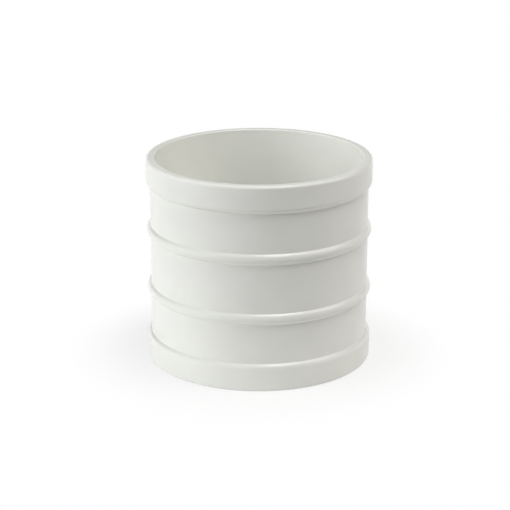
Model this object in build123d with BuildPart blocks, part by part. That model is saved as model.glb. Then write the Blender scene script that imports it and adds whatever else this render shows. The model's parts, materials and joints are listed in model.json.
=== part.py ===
from build123d import *

import os
from math import isclose

# Straight pipe coupling: one moulded sleeve that joins two plain-ended round ducts end to end.
# It stands on its lower mouth. The origin is the middle of that mouth and +Z runs up the bore.

os.makedirs("parts", exist_ok=True)

# Driving dimensions, in millimetres
duct_diameter = 100.0     # outside of the duct that goes into each mouth
duct_clearance = 0.3      # gap all round between a duct and its socket
socket_depth = 48.5       # from the end of a mouth to the stop
wall = 2.5                # plain body
stop_width = 3.0          # stop ring, along the bore
stop_height = 2.0         # stop ring, inward from the socket wall
stop_rounding = 0.6       # inner edges of the stop ring
band_height = 10.8        # outer face of an end band, with its rounded edge
band_proud = 1.75         # an end band stands this far out from the body
shoulder_height = 2.5     # rounded slope from a band to the body, along the bore
bead_width = 5.3          # raised bead, along the bore
bead_proud = 1.6          # a bead stands this far out from the body
bead_offset = 14.6        # from the middle of the coupling to the middle of a bead
root_fillet = 0.5         # where a bead or a shoulder meets the body
rim_inner_radius = 0.5    # inner edge of each mouth, where the duct goes in
rim_outer_radius = 1.5    # outer edge of each mouth

# Derived dimensions
bore_radius = duct_diameter / 2 + duct_clearance
stop_radius = bore_radius - stop_height
body_radius = bore_radius + wall
band_radius = body_radius + band_proud
middle = socket_depth + stop_width / 2
shoulder_top = band_height + shoulder_height
bead_middle = middle - bead_offset
bead_bottom = bead_middle - bead_width / 2
bead_top = bead_middle + bead_width / 2


def rings_at(radius):
    """Level circular edges of the coupling with this radius, from the lowest to the highest."""
    rings = coupling.edges().filter_by(Plane.XY).filter_by(GeomType.CIRCLE)
    return rings.filter_by(lambda ring: isclose(ring.radius, radius)).sort_by(Axis.Z)


def round_ends(radius, rounding):
    """Round the lowest and the highest of the rings with this radius."""
    rings = rings_at(radius)
    fillet([rings.first, rings.last], rounding)


with BuildPart() as coupling:
    with BuildSketch(Plane.XZ):
        # Half of the wall's section: up the outside from the lower mouth, then its mirror image
        with BuildLine():
            Polyline(
                (stop_radius, middle),
                (stop_radius, socket_depth),
                (bore_radius, socket_depth),
                (bore_radius, 0),
                (band_radius, 0),
                (band_radius, band_height),
            )
            TangentArc((band_radius, band_height), (body_radius, shoulder_top), tangent=(0, 1))
            Line((body_radius, shoulder_top), (body_radius, bead_bottom))
            ThreePointArc(
                (body_radius, bead_bottom),
                (body_radius + bead_proud, bead_middle),
                (body_radius, bead_top),
            )
            Line((body_radius, bead_top), (body_radius, middle))
            mirror(about=Plane.XZ.offset(-middle))
        make_face()
    revolve(axis=Axis.Z)
    fillet(rings_at(body_radius), root_fillet)
    fillet(rings_at(stop_radius), stop_rounding)
    round_ends(bore_radius, rim_inner_radius)
    round_ends(band_radius, rim_outer_radius)

coupling.part.label = "coupling"
export_step(coupling.part, "parts/coupling.step")
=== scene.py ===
import json
import math

import bpy
import numpy as np
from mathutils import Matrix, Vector

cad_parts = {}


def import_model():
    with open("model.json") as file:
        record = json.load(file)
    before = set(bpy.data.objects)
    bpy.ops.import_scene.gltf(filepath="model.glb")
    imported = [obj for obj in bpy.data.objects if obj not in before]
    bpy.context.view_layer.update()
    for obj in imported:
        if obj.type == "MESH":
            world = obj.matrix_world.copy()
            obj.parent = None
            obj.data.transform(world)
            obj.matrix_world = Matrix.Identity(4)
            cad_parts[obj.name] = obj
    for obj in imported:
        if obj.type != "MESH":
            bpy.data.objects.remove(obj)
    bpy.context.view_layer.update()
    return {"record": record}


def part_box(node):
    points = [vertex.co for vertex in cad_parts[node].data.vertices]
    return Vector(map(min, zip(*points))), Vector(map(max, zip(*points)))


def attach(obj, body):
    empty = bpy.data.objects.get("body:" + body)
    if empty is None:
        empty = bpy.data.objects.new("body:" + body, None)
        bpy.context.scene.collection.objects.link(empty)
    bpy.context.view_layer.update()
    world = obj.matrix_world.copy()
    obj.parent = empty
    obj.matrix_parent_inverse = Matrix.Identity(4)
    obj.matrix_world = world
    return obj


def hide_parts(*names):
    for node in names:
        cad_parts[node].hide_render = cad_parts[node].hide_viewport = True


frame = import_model()

# A straight pipe coupling: one moulded sleeve of white PVC that stands on its lower mouth.
# The sizes below are in millimetres, as in the part's source. The radii of the bore and of the
# end bands and the length are read from the frame.
MM = 0.001
LOW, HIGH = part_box("coupling")
SOCKETS = {mount["name"]: mount for mount in frame["record"]["mounts"]}
LENGTH = (HIGH.z - LOW.z) / MM
BAND_RADIUS = (HIGH.x - LOW.x) / 2 / MM
BORE_RADIUS = SOCKETS["upper_socket"]["dims"]["r_mm"]
BAND_PROUD = 1.75
BAND_HEIGHT = 10.8
SHOULDER_HEIGHT = 2.5
BEAD_PROUD = 1.6
BEAD_WIDTH = 5.3
BEAD_OFFSET = 14.6
ROOT_FILLET = 0.5
RIM_OUTER_RADIUS = 1.5
RIM_INNER_RADIUS = 0.5
STOP_WIDTH = 3.0
STOP_HEIGHT = 2.0
STOP_ROUNDING = 0.6
BODY_RADIUS = BAND_RADIUS - BAND_PROUD
MIDDLE = LENGTH / 2
STEPS_AROUND = 288


# The outline of the wall

def arc(centre, radius, start, end, steps=9):
    """Points on a circle about centre, from the angle start to the angle end, in degrees."""
    angle = np.radians(np.linspace(start, end, steps))
    return np.column_stack([centre[0] + radius * np.cos(angle), centre[1] + radius * np.sin(angle)])


def run(start, end, steps):
    """Points on a straight line, closer together towards its two ends: (1 - cos t) / 2."""
    share = (1 - np.cos(np.linspace(0, np.pi, steps + 1))) / 2
    return np.array(start) + share[:, None] * (np.array(end) - np.array(start))


def swell(proud, reach):
    """One flank of a raised ring, from its crest to the plain body, as (distance along, height).

    A convex arc falls from the crest by proud over the length reach. A concave root arc takes it
    over and ends level with the body. Both arcs turn by the same angle, whose cosine is
    1 - proud / (sum of the two radii).
    """
    radius = (proud**2 + reach**2) / (2 * proud)
    turn = np.arccos(1 - proud / (radius + ROOT_FILLET))
    falling = np.linspace(0, turn, 10)
    levelling = falling[-2::-1]
    foot = (radius + ROOT_FILLET) * np.sin(turn)
    along = np.concatenate([radius * np.sin(falling), foot - ROOT_FILLET * np.sin(levelling)])
    height = np.concatenate(
        [proud - radius * (1 - np.cos(falling)), ROOT_FILLET * (1 - np.cos(levelling))]
    )
    return along, height


def wall_outline():
    """The section of the wall as a closed loop of (radius, height) in millimetres.

    The upper half runs up the outside from the middle, over the rim and down the bore to the stop
    ring. The lower half is its mirror image, taken backwards.
    """
    along, height = swell(BEAD_PROUD, BEAD_WIDTH / 2)
    bead_at = MIDDLE + BEAD_OFFSET
    bead_top = np.column_stack([BODY_RADIUS + height, bead_at + along])
    bead_bottom = np.column_stack([BODY_RADIUS + height, bead_at - along])[::-1]
    along, height = swell(BAND_PROUD, SHOULDER_HEIGHT)
    shoulder = np.column_stack([BODY_RADIUS + height, LENGTH - BAND_HEIGHT - along])[::-1]
    outer_centre = (BAND_RADIUS - RIM_OUTER_RADIUS, LENGTH - RIM_OUTER_RADIUS)
    outer_edge = arc(outer_centre, RIM_OUTER_RADIUS, 0, 90, 13)
    inner_centre = (BORE_RADIUS + RIM_INNER_RADIUS, LENGTH - RIM_INNER_RADIUS)
    inner_edge = arc(inner_centre, RIM_INNER_RADIUS, 90, 180, 11)
    stop_radius = BORE_RADIUS - STOP_HEIGHT
    stop_top = MIDDLE + STOP_WIDTH / 2
    stop_edge = arc((stop_radius + STOP_ROUNDING, stop_top - STOP_ROUNDING), STOP_ROUNDING, 90, 180)
    upper = np.vstack([
        run((BODY_RADIUS, MIDDLE), bead_bottom[0], 10)[:-1],
        bead_bottom[:-1],
        bead_top,
        run(bead_top[-1], shoulder[0], 14)[1:-1],
        shoulder,
        run(shoulder[-1], outer_edge[0], 10)[1:-1],
        outer_edge,
        run(outer_edge[-1], inner_edge[0], 6)[1:-1],
        inner_edge,
        run(inner_edge[-1], (BORE_RADIUS, stop_top), 28)[1:],
        run((BORE_RADIUS, stop_top), stop_edge[0], 5)[1:-1],
        stop_edge,
        run(stop_edge[-1], (stop_radius, MIDDLE), 3)[1:],
    ])
    lower = upper[-2:0:-1] * (1, -1) + (0, 2 * MIDDLE)
    return np.vstack([upper, lower])


def sleeve(name, outline, around):
    """A closed surface of revolution: the outline carried round +Z in equal steps, in metres."""
    turn = np.linspace(0, 2 * np.pi, around, endpoint=False)
    radius = outline[:, 0]
    points = np.empty((around, len(outline), 3))
    points[..., 0] = np.cos(turn)[:, None] * radius
    points[..., 1] = np.sin(turn)[:, None] * radius
    points[..., 2] = outline[:, 1]
    column, row = np.meshgrid(np.arange(around), np.arange(len(outline)), indexing="ij")
    next_column = (column + 1) % around
    next_row = (row + 1) % len(outline)
    corner = np.stack([
        column * len(outline) + row,
        next_column * len(outline) + row,
        next_column * len(outline) + next_row,
        column * len(outline) + next_row,
    ], axis=-1)
    mesh = bpy.data.meshes.new(name)
    mesh.from_pydata((points.reshape(-1, 3) * MM).tolist(), [], corner.reshape(-1, 4).tolist())
    mesh.shade_smooth()
    mesh.update()
    piece = bpy.data.objects.new(name, mesh)
    bpy.context.scene.collection.objects.link(piece)
    return piece


# Materials

def linear(hex_colour):
    """An sRGB colour such as "#ECECE6" as linear red, green, blue and alpha."""
    srgb = np.array([int(hex_colour[i:i + 2], 16) for i in (1, 3, 5)]) / 255
    low = srgb / 12.92
    high = ((srgb + 0.055) / 1.055) ** 2.4
    return (*np.where(srgb <= 0.04045, low, high).tolist(), 1.0)


def node(tree, kind, inputs=None, **settings):
    """Adds a node with its settings. An input is a value, or an output socket to link from."""
    made = tree.nodes.new(kind)
    for key, value in settings.items():
        setattr(made, key, value)
    for key, value in (inputs or {}).items():
        if isinstance(value, bpy.types.NodeSocket):
            tree.links.new(value, made.inputs[key])
        else:
            made.inputs[key].default_value = value
    return made


def moulded_pvc():
    """Rigid white PVC, injection moulded in a turned and polished tool.

    To the eye it is an opaque warm white with a satin gloss. The flow of the melt leaves it faintly
    cloudy, the tool leaves very faint lines round it, and uneven shrinkage makes its lights waver.
    """
    material = bpy.data.materials.new("moulded_pvc")
    material.use_nodes = True
    tree = material.node_tree
    tree.nodes.clear()
    place = node(tree, "ShaderNodeTexCoord").outputs["Object"]
    # The size of each pattern along X, Y and Z, in millimetres, and its detail. Real tool lines lie
    # about 0.1 mm apart, and the satin grain is as fine. Both are too fine to show in the render, so
    # they are drawn coarser.
    patterns = {
        "clouds": ((26, 26, 18), 3.0),
        "lines": ((45, 45, 1.4), 3.0),
        "patches": ((7, 7, 7), 2.0),
        "waves": ((16, 16, 12), 1.0),
        "satin": ((0.7, 0.7, 0.7), 2.0),
    }
    noise = {}
    for name, (sizes, detail) in patterns.items():
        per_metre = [1 / (size * MM) for size in sizes]
        steps = node(tree, "ShaderNodeVectorMath", {0: place, 1: per_metre}, operation="MULTIPLY")
        noise[name] = node(tree, "ShaderNodeTexNoise", {
            "Vector": steps.outputs["Vector"],
            "Scale": 1.0,
            "Detail": detail,
        }).outputs["Fac"]
    middle_half = {"From Min": 0.25, "From Max": 0.75}
    cloudy = node(tree, "ShaderNodeMapRange", {"Value": noise["clouds"], **middle_half})
    colour = node(tree, "ShaderNodeMix", {
        "Factor": cloudy.outputs[0],
        "A": linear("#EFF0EA"),
        "B": linear("#F4F5EF"),
    }, data_type="RGBA")
    patchy = node(tree, "ShaderNodeMapRange", {
        "Value": noise["patches"],
        **middle_half,
        "To Min": 0.20,
        "To Max": 0.26,
    })
    streaky = node(tree, "ShaderNodeMapRange", {
        "Value": noise["lines"],
        **middle_half,
        "To Min": -0.006,
        "To Max": 0.006,
    })
    gloss = node(tree, "ShaderNodeMath", {0: patchy.outputs[0], 1: streaky.outputs[0]}, operation="ADD")
    wavy = node(tree, "ShaderNodeBump", {"Height": noise["waves"], "Distance": 0.06 * MM})
    lined = node(tree, "ShaderNodeBump", {
        "Height": noise["lines"],
        "Distance": 0.0006 * MM,
        "Normal": wavy.outputs[0],
    })
    fine = node(tree, "ShaderNodeBump", {
        "Height": noise["satin"],
        "Distance": 0.0006 * MM,
        "Normal": lined.outputs[0],
    })
    shader = node(tree, "ShaderNodeBsdfPrincipled", {
        "Base Color": colour.outputs["Result"],
        "Roughness": gloss.outputs[0],
        "IOR": 1.53,
        "Normal": fine.outputs[0],
    })
    node(tree, "ShaderNodeOutputMaterial", {"Surface": shader.outputs["BSDF"]})
    return material


# Studio, in metres: the card turns from white to grey between the two distances of PAINTED_POOL_EDGE from
# the middle of the floor. That is a painted pool of light round the object, which brightens the light
# that bounces onto its lower part. Between those of SHADOW_REACH, the share of plain white in what is
# seen of it rises from LIFT_NEAR to 1.
FLOOR_SIZE = 8.0
BACKDROP_RADIUS = 3.95
BACKDROP_HEIGHT = 0.75
BACKDROP_THICKNESS = 0.01
BACKDROP_STEPS = 96
PAINTED_POOL_EDGE = (0.10, 0.32)
SHADOW_REACH = (0.05, 0.10)
LIFT_NEAR = 0.7


def matt_card():
    """Uncoated paper card, matt to the eye. Its colour is a painted pool of light: white near the object
    and pale grey further off, so that more light bounces onto the object's lower part.

    It is seen as plain white, less so near the object, where it shows the object's shadow.
    """
    material = bpy.data.materials.new("matt_card")
    material.use_nodes = True
    tree = material.node_tree
    tree.nodes.clear()
    place = node(tree, "ShaderNodeTexCoord").outputs["Object"]
    distance = node(tree, "ShaderNodeVectorMath", {0: place}, operation="LENGTH").outputs["Value"]
    # Painted pool of light: the card's colour is white near the object and turns grey further off.
    far = node(tree, "ShaderNodeMapRange", {
        "Value": distance,
        "From Min": PAINTED_POOL_EDGE[0],
        "From Max": PAINTED_POOL_EDGE[1],
    }).outputs[0]
    colour = node(tree, "ShaderNodeMix", {
        "Factor": far,
        "A": linear("#F1F1F1"),
        "B": linear("#B4B4B4"),
    }, data_type="RGBA")
    card = node(tree, "ShaderNodeBsdfDiffuse", {"Color": colour.outputs["Result"]})
    lift = node(tree, "ShaderNodeMapRange", {
        "Value": distance,
        "From Min": SHADOW_REACH[0],
        "From Max": SHADOW_REACH[1],
        "To Min": LIFT_NEAR,
    }, interpolation_type="SMOOTHSTEP").outputs[0]
    path = node(tree, "ShaderNodeLightPath").outputs
    seen = path["Is Camera Ray"]
    for kind in ("Is Glossy Ray", "Is Transmission Ray"):
        seen = node(tree, "ShaderNodeMath", {0: seen, 1: path[kind]}, operation="MAXIMUM").outputs[0]
    share = node(tree, "ShaderNodeMath", {0: seen, 1: lift}, operation="MULTIPLY").outputs[0]
    white = node(tree, "ShaderNodeEmission")
    both = node(tree, "ShaderNodeMixShader", {0: share, 1: card.outputs[0], 2: white.outputs[0]})
    node(tree, "ShaderNodeOutputMaterial", {"Surface": both.outputs[0]})
    return material


def floor(card):
    """A level square of card that the coupling stands on."""
    half = FLOOR_SIZE / 2
    corners = [(-half, -half, 0), (half, -half, 0), (half, half, 0), (-half, half, 0)]
    mesh = bpy.data.meshes.new("floor")
    mesh.from_pydata(corners, [], [(0, 1, 2, 3)])
    mesh.materials.append(card)
    piece = bpy.data.objects.new("floor", mesh)
    bpy.context.scene.collection.objects.link(piece)


def backdrop(card):
    """A low wall of card all round the floor: an upright oblong carried round +Z."""
    outer = (BACKDROP_RADIUS + BACKDROP_THICKNESS) / MM
    inner = BACKDROP_RADIUS / MM
    top = BACKDROP_HEIGHT / MM
    section = np.array([(outer, 0), (outer, top), (inner, top), (inner, 0)])
    piece = sleeve("backdrop", section, BACKDROP_STEPS)
    piece.data.materials.append(card)


def world(strength):
    """The even, dim light of the room round the studio."""
    room = bpy.data.worlds.new("room")
    room.use_nodes = True
    tree = room.node_tree
    tree.nodes.clear()
    light = node(tree, "ShaderNodeBackground", {"Strength": strength})
    node(tree, "ShaderNodeOutputWorld", {"Surface": light.outputs[0]})
    bpy.context.scene.world = room


def direction(azimuth, elevation):
    """A unit vector from the object: azimuth 0 is towards the camera and 90 is to its right."""
    a, e = math.radians(azimuth), math.radians(elevation)
    return Vector((math.sin(a) * math.cos(e), -math.cos(a) * math.cos(e), math.sin(e)))


def softbox(name, place, aim, size, power, colour="#FFFFFF", in_gloss=True):
    """A square lamp at place, in metres, turned to face aim. The camera doesn't see it.

    Glossy surfaces show it, unless in_gloss is off.
    """
    lamp = bpy.data.lights.new(name, "AREA")
    lamp.size = size
    lamp.energy = power
    lamp.color = linear(colour)[:3]
    piece = bpy.data.objects.new(name, lamp)
    piece.location = place
    piece.rotation_euler = (Vector(aim) - Vector(place)).to_track_quat("-Z", "Y").to_euler()
    piece.visible_camera = False
    piece.visible_glossy = in_gloss
    bpy.context.scene.collection.objects.link(piece)


# Camera: looks along +Y, down on the coupling, as in the photograph. Its distance and the point that
# it looks at are in millimetres.
CAMERA_ELEVATION = 18.4
CAMERA_DISTANCE = 864.0
CAMERA_AIM = (-2.0, 0.0, 49.55)
CAMERA_FOCAL_PIXELS = 1767.0
PICTURE_PIXELS = 510


def camera():
    """The photograph's camera, as fitted to the outline of the coupling there."""
    lens = bpy.data.cameras.new("camera")
    lens.sensor_width = 36.0
    lens.lens = CAMERA_FOCAL_PIXELS / PICTURE_PIXELS * lens.sensor_width
    lens.clip_start = 0.01
    piece = bpy.data.objects.new("camera", lens)
    tilt = math.radians(CAMERA_ELEVATION)
    back = Vector((0, -math.cos(tilt), math.sin(tilt)))
    piece.location = (Vector(CAMERA_AIM) + back * CAMERA_DISTANCE) * MM
    piece.rotation_euler = (math.pi / 2 - tilt, 0, 0)
    bpy.context.scene.collection.objects.link(piece)
    bpy.context.scene.camera = piece


coupling = sleeve("coupling_sleeve", wall_outline(), STEPS_AROUND)
coupling.data.materials.append(moulded_pvc())
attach(coupling, "root")
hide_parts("coupling")

card = matt_card()
floor(card)
backdrop(card)
world(strength=0.02)
centre = Vector((0, 0, MIDDLE * MM))
# The two lowest lamps are kept out of reflections, which would bleach the edges against the white.
softbox("left", centre + direction(-72, 22), centre, size=0.9, power=8.35, colour="#FDFEFF", in_gloss=False)
softbox("right", centre + direction(84, 38), centre, size=0.6, power=2.95, colour="#FFF9F2")
softbox("overhead", centre + direction(46, 70), centre, size=0.5, power=4.55)
softbox("behind", centre + direction(172, 9), centre, size=0.4, power=1.4, in_gloss=False)
softbox("into_mouth", (0, -0.02, 0.15), (0, 0.05, 0.06), size=0.05, power=0.0066)
camera()
bpy.context.scene.view_settings.view_transform = "Standard"
